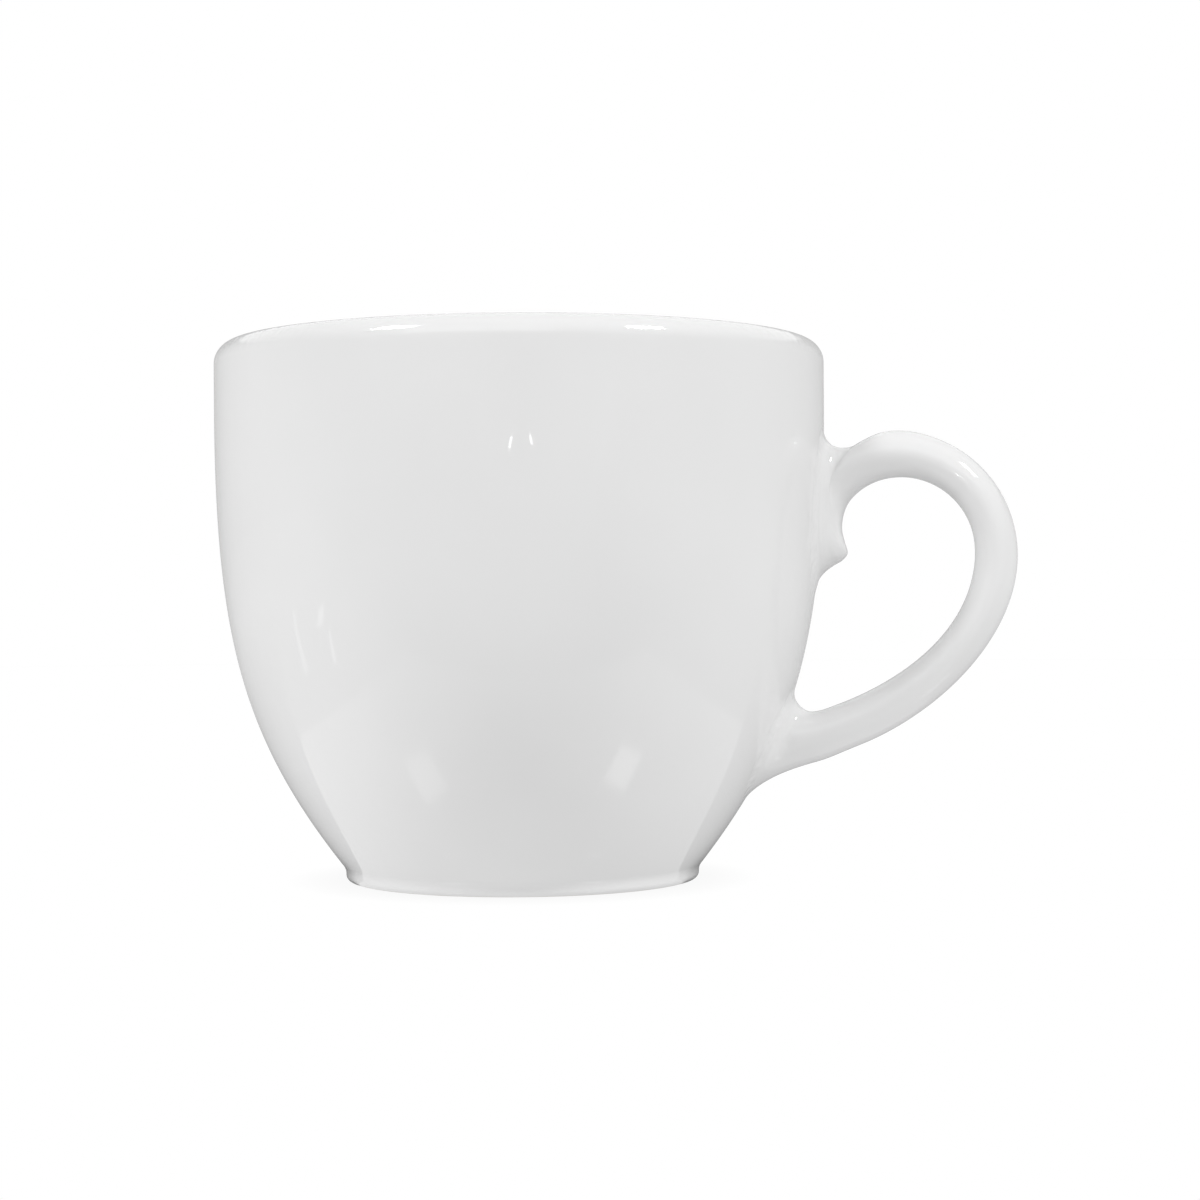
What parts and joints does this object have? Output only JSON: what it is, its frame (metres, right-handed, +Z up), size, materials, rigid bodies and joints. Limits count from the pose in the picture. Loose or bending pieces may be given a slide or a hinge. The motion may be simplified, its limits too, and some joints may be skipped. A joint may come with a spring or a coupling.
{
  "type": "espresso cup",
  "caption": "White glazed porcelain espresso cup: thick-walled rounded bowl on a narrow foot ring, with a small looped handle that has a thorn under its upper root",
  "frame": {"origin": "on the table, at the middle of the foot ring, on the bowl's axis", "axes": "+Z up along the bowl's axis, +X out through the middle of the handle, +Y across the handle's loop"},
  "size_m": [0.0812, 0.062, 0.0545],
  "materials": {
    "glazed_porcelain": "clear gloss glaze, bare on the foot ring",
    "slip": "clear gloss glaze over fired slip"
  },
  "bodies": {
    "root": {"bowl": "glazed_porcelain", "handle": "glazed_porcelain", "upper_slip_joint": "slip", "lower_slip_joint": "slip"}
  },
  "joints": []
}
